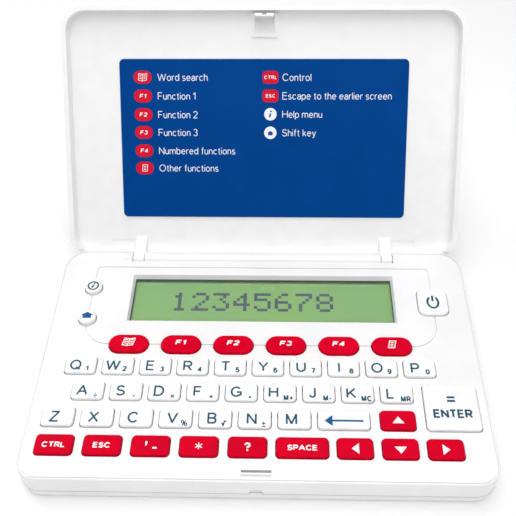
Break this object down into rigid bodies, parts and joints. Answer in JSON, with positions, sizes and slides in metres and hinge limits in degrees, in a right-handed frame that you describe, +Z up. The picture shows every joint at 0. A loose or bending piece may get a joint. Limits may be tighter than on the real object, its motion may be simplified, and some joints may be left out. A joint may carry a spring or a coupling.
{
  "type": "electronic dictionary",
  "caption": "Pocket electronic dictionary: clamshell case with a letter keyboard, a one-line display and a lid that folds back on two hinge pins.",
  "frame": {"origin": "middle of the underside, on the surface that the case stands on", "axes": "+X to the user's right, +Y towards the hinge, +Z up from the underside"},
  "size_m": [0.134, 0.1383, 0.0777],
  "materials": {
    "white_case": "glossy moulded ABS",
    "white_key": "satin moulded ABS with printed legends",
    "red_key": "satin moulded ABS with printed legends",
    "label_film": "printed polyester film",
    "clear_lens": "clear acrylic",
    "lcd_glass": "green reflective display",
    "silicone_mat": "moulded silicone rubber",
    "circuit_board": "solder-masked fibreglass",
    "cell_steel": "nickel-plated steel",
    "contact_brass": "plated spring brass",
    "pin_steel": "drawn steel",
    "screw_steel": "zinc-plated steel"
  },
  "bodies": {
    "base": {"top_housing": "white_case", "bottom_housing": "white_case", "battery_cover": "white_case", "hinge_pins": "pin_steel", "lcd_window": "clear_lens", "lcd_module": "lcd_glass", "keypad_mat": "silicone_mat", "main_pcb": "circuit_board", "coin_cells": "cell_steel", "battery_contacts": "contact_brass", "case_screws": "screw_steel"},
    "lid": {"lid_shell": "white_case", "lid_label": "label_film"},
    "key_q_cap": {"key_q": "white_key"},
    "key_w_cap": {"key_w": "white_key"},
    "key_e_cap": {"key_e": "white_key"},
    "key_r_cap": {"key_r": "white_key"},
    "key_t_cap": {"key_t": "white_key"},
    "key_y_cap": {"key_y": "white_key"},
    "key_u_cap": {"key_u": "white_key"},
    "key_i_cap": {"key_i": "white_key"},
    "key_o_cap": {"key_o": "white_key"},
    "key_p_cap": {"key_p": "white_key"},
    "key_a_cap": {"key_a": "white_key"},
    "key_s_cap": {"key_s": "white_key"},
    "key_d_cap": {"key_d": "white_key"},
    "key_f_cap": {"key_f": "white_key"},
    "key_g_cap": {"key_g": "white_key"},
    "key_h_cap": {"key_h": "white_key"},
    "key_j_cap": {"key_j": "white_key"},
    "key_k_cap": {"key_k": "white_key"},
    "key_l_cap": {"key_l": "white_key"},
    "key_z_cap": {"key_z": "white_key"},
    "key_x_cap": {"key_x": "white_key"},
    "key_c_cap": {"key_c": "white_key"},
    "key_v_cap": {"key_v": "white_key"},
    "key_b_cap": {"key_b": "white_key"},
    "key_n_cap": {"key_n": "white_key"},
    "key_m_cap": {"key_m": "white_key"},
    "key_backspace_cap": {"key_backspace": "white_key"},
    "key_up_cap": {"key_up": "red_key"},
    "key_enter_cap": {"key_enter": "white_key"},
    "key_ctrl_cap": {"key_ctrl": "red_key"},
    "key_escape_cap": {"key_escape": "red_key"},
    "key_apostrophe_cap": {"key_apostrophe": "red_key"},
    "key_asterisk_cap": {"key_asterisk": "red_key"},
    "key_question_cap": {"key_question": "red_key"},
    "key_space_cap": {"key_space": "red_key"},
    "key_left_cap": {"key_left": "red_key"},
    "key_down_cap": {"key_down": "red_key"},
    "key_right_cap": {"key_right": "red_key"},
    "function_key_1_cap": {"function_key_1": "red_key"},
    "function_key_2_cap": {"function_key_2": "red_key"},
    "function_key_3_cap": {"function_key_3": "red_key"},
    "function_key_4_cap": {"function_key_4": "red_key"},
    "function_key_5_cap": {"function_key_5": "red_key"},
    "function_key_6_cap": {"function_key_6": "red_key"},
    "info_button_cap": {"info_button": "white_key"},
    "shift_button_cap": {"shift_button": "white_key"},
    "power_button_cap": {"power_button": "white_key"}
  },
  "joints": [
    {"name": "lid_hinge", "type": "hinge", "parent": "base", "child": "lid", "pos_m": [0, 0.0407, 0.0097], "axis": [1, 0, 0], "range_deg": [0, 125]},
    {"name": "key_q_press", "type": "slide", "parent": "base", "child": "key_q_cap", "axis": [0, 0, -1], "range_m": [0, 0.0008], "stiffness_N_per_m": 300, "springref_m": -0.001},
    {"name": "key_w_press", "type": "slide", "parent": "base", "child": "key_w_cap", "axis": [0, 0, -1], "range_m": [0, 0.0008], "stiffness_N_per_m": 300, "springref_m": -0.001},
    {"name": "key_e_press", "type": "slide", "parent": "base", "child": "key_e_cap", "axis": [0, 0, -1], "range_m": [0, 0.0008], "stiffness_N_per_m": 300, "springref_m": -0.001},
    {"name": "key_r_press", "type": "slide", "parent": "base", "child": "key_r_cap", "axis": [0, 0, -1], "range_m": [0, 0.0008], "stiffness_N_per_m": 300, "springref_m": -0.001},
    {"name": "key_t_press", "type": "slide", "parent": "base", "child": "key_t_cap", "axis": [0, 0, -1], "range_m": [0, 0.0008], "stiffness_N_per_m": 300, "springref_m": -0.001},
    {"name": "key_y_press", "type": "slide", "parent": "base", "child": "key_y_cap", "axis": [0, 0, -1], "range_m": [0, 0.0008], "stiffness_N_per_m": 300, "springref_m": -0.001},
    {"name": "key_u_press", "type": "slide", "parent": "base", "child": "key_u_cap", "axis": [0, 0, -1], "range_m": [0, 0.0008], "stiffness_N_per_m": 300, "springref_m": -0.001},
    {"name": "key_i_press", "type": "slide", "parent": "base", "child": "key_i_cap", "axis": [0, 0, -1], "range_m": [0, 0.0008], "stiffness_N_per_m": 300, "springref_m": -0.001},
    {"name": "key_o_press", "type": "slide", "parent": "base", "child": "key_o_cap", "axis": [0, 0, -1], "range_m": [0, 0.0008], "stiffness_N_per_m": 300, "springref_m": -0.001},
    {"name": "key_p_press", "type": "slide", "parent": "base", "child": "key_p_cap", "axis": [0, 0, -1], "range_m": [0, 0.0008], "stiffness_N_per_m": 300, "springref_m": -0.001},
    {"name": "key_a_press", "type": "slide", "parent": "base", "child": "key_a_cap", "axis": [0, 0, -1], "range_m": [0, 0.0008], "stiffness_N_per_m": 300, "springref_m": -0.001},
    {"name": "key_s_press", "type": "slide", "parent": "base", "child": "key_s_cap", "axis": [0, 0, -1], "range_m": [0, 0.0008], "stiffness_N_per_m": 300, "springref_m": -0.001},
    {"name": "key_d_press", "type": "slide", "parent": "base", "child": "key_d_cap", "axis": [0, 0, -1], "range_m": [0, 0.0008], "stiffness_N_per_m": 300, "springref_m": -0.001},
    {"name": "key_f_press", "type": "slide", "parent": "base", "child": "key_f_cap", "axis": [0, 0, -1], "range_m": [0, 0.0008], "stiffness_N_per_m": 300, "springref_m": -0.001},
    {"name": "key_g_press", "type": "slide", "parent": "base", "child": "key_g_cap", "axis": [0, 0, -1], "range_m": [0, 0.0008], "stiffness_N_per_m": 300, "springref_m": -0.001},
    {"name": "key_h_press", "type": "slide", "parent": "base", "child": "key_h_cap", "axis": [0, 0, -1], "range_m": [0, 0.0008], "stiffness_N_per_m": 300, "springref_m": -0.001},
    {"name": "key_j_press", "type": "slide", "parent": "base", "child": "key_j_cap", "axis": [0, 0, -1], "range_m": [0, 0.0008], "stiffness_N_per_m": 300, "springref_m": -0.001},
    {"name": "key_k_press", "type": "slide", "parent": "base", "child": "key_k_cap", "axis": [0, 0, -1], "range_m": [0, 0.0008], "stiffness_N_per_m": 300, "springref_m": -0.001},
    {"name": "key_l_press", "type": "slide", "parent": "base", "child": "key_l_cap", "axis": [0, 0, -1], "range_m": [0, 0.0008], "stiffness_N_per_m": 300, "springref_m": -0.001},
    {"name": "key_z_press", "type": "slide", "parent": "base", "child": "key_z_cap", "axis": [0, 0, -1], "range_m": [0, 0.0008], "stiffness_N_per_m": 300, "springref_m": -0.001},
    {"name": "key_x_press", "type": "slide", "parent": "base", "child": "key_x_cap", "axis": [0, 0, -1], "range_m": [0, 0.0008], "stiffness_N_per_m": 300, "springref_m": -0.001},
    {"name": "key_c_press", "type": "slide", "parent": "base", "child": "key_c_cap", "axis": [0, 0, -1], "range_m": [0, 0.0008], "stiffness_N_per_m": 300, "springref_m": -0.001},
    {"name": "key_v_press", "type": "slide", "parent": "base", "child": "key_v_cap", "axis": [0, 0, -1], "range_m": [0, 0.0008], "stiffness_N_per_m": 300, "springref_m": -0.001},
    {"name": "key_b_press", "type": "slide", "parent": "base", "child": "key_b_cap", "axis": [0, 0, -1], "range_m": [0, 0.0008], "stiffness_N_per_m": 300, "springref_m": -0.001},
    {"name": "key_n_press", "type": "slide", "parent": "base", "child": "key_n_cap", "axis": [0, 0, -1], "range_m": [0, 0.0008], "stiffness_N_per_m": 300, "springref_m": -0.001},
    {"name": "key_m_press", "type": "slide", "parent": "base", "child": "key_m_cap", "axis": [0, 0, -1], "range_m": [0, 0.0008], "stiffness_N_per_m": 300, "springref_m": -0.001},
    {"name": "key_backspace_press", "type": "slide", "parent": "base", "child": "key_backspace_cap", "axis": [0, 0, -1], "range_m": [0, 0.0008], "stiffness_N_per_m": 300, "springref_m": -0.001},
    {"name": "key_up_press", "type": "slide", "parent": "base", "child": "key_up_cap", "axis": [0, 0, -1], "range_m": [0, 0.0008], "stiffness_N_per_m": 300, "springref_m": -0.001},
    {"name": "key_enter_press", "type": "slide", "parent": "base", "child": "key_enter_cap", "axis": [0, 0, -1], "range_m": [0, 0.0008], "stiffness_N_per_m": 300, "springref_m": -0.001},
    {"name": "key_ctrl_press", "type": "slide", "parent": "base", "child": "key_ctrl_cap", "axis": [0, 0, -1], "range_m": [0, 0.0008], "stiffness_N_per_m": 300, "springref_m": -0.001},
    {"name": "key_escape_press", "type": "slide", "parent": "base", "child": "key_escape_cap", "axis": [0, 0, -1], "range_m": [0, 0.0008], "stiffness_N_per_m": 300, "springref_m": -0.001},
    {"name": "key_apostrophe_press", "type": "slide", "parent": "base", "child": "key_apostrophe_cap", "axis": [0, 0, -1], "range_m": [0, 0.0008], "stiffness_N_per_m": 300, "springref_m": -0.001},
    {"name": "key_asterisk_press", "type": "slide", "parent": "base", "child": "key_asterisk_cap", "axis": [0, 0, -1], "range_m": [0, 0.0008], "stiffness_N_per_m": 300, "springref_m": -0.001},
    {"name": "key_question_press", "type": "slide", "parent": "base", "child": "key_question_cap", "axis": [0, 0, -1], "range_m": [0, 0.0008], "stiffness_N_per_m": 300, "springref_m": -0.001},
    {"name": "key_space_press", "type": "slide", "parent": "base", "child": "key_space_cap", "axis": [0, 0, -1], "range_m": [0, 0.0008], "stiffness_N_per_m": 300, "springref_m": -0.001},
    {"name": "key_left_press", "type": "slide", "parent": "base", "child": "key_left_cap", "axis": [0, 0, -1], "range_m": [0, 0.0008], "stiffness_N_per_m": 300, "springref_m": -0.001},
    {"name": "key_down_press", "type": "slide", "parent": "base", "child": "key_down_cap", "axis": [0, 0, -1], "range_m": [0, 0.0008], "stiffness_N_per_m": 300, "springref_m": -0.001},
    {"name": "key_right_press", "type": "slide", "parent": "base", "child": "key_right_cap", "axis": [0, 0, -1], "range_m": [0, 0.0008], "stiffness_N_per_m": 300, "springref_m": -0.001},
    {"name": "function_key_1_press", "type": "slide", "parent": "base", "child": "function_key_1_cap", "axis": [0, 0, -1], "range_m": [0, 0.0006], "stiffness_N_per_m": 300, "springref_m": -0.001},
    {"name": "function_key_2_press", "type": "slide", "parent": "base", "child": "function_key_2_cap", "axis": [0, 0, -1], "range_m": [0, 0.0006], "stiffness_N_per_m": 300, "springref_m": -0.001},
    {"name": "function_key_3_press", "type": "slide", "parent": "base", "child": "function_key_3_cap", "axis": [0, 0, -1], "range_m": [0, 0.0006], "stiffness_N_per_m": 300, "springref_m": -0.001},
    {"name": "function_key_4_press", "type": "slide", "parent": "base", "child": "function_key_4_cap", "axis": [0, 0, -1], "range_m": [0, 0.0006], "stiffness_N_per_m": 300, "springref_m": -0.001},
    {"name": "function_key_5_press", "type": "slide", "parent": "base", "child": "function_key_5_cap", "axis": [0, 0, -1], "range_m": [0, 0.0006], "stiffness_N_per_m": 300, "springref_m": -0.001},
    {"name": "function_key_6_press", "type": "slide", "parent": "base", "child": "function_key_6_cap", "axis": [0, 0, -1], "range_m": [0, 0.0006], "stiffness_N_per_m": 300, "springref_m": -0.001},
    {"name": "info_button_press", "type": "slide", "parent": "base", "child": "info_button_cap", "axis": [0, 0, -1], "range_m": [0, 0.0006], "stiffness_N_per_m": 300, "springref_m": -0.001},
    {"name": "shift_button_press", "type": "slide", "parent": "base", "child": "shift_button_cap", "axis": [0, 0, -1], "range_m": [0, 0.0006], "stiffness_N_per_m": 300, "springref_m": -0.001},
    {"name": "power_button_press", "type": "slide", "parent": "base", "child": "power_button_cap", "axis": [0, 0, -1], "range_m": [0, 0.0006], "stiffness_N_per_m": 300, "springref_m": -0.001}
  ]
}
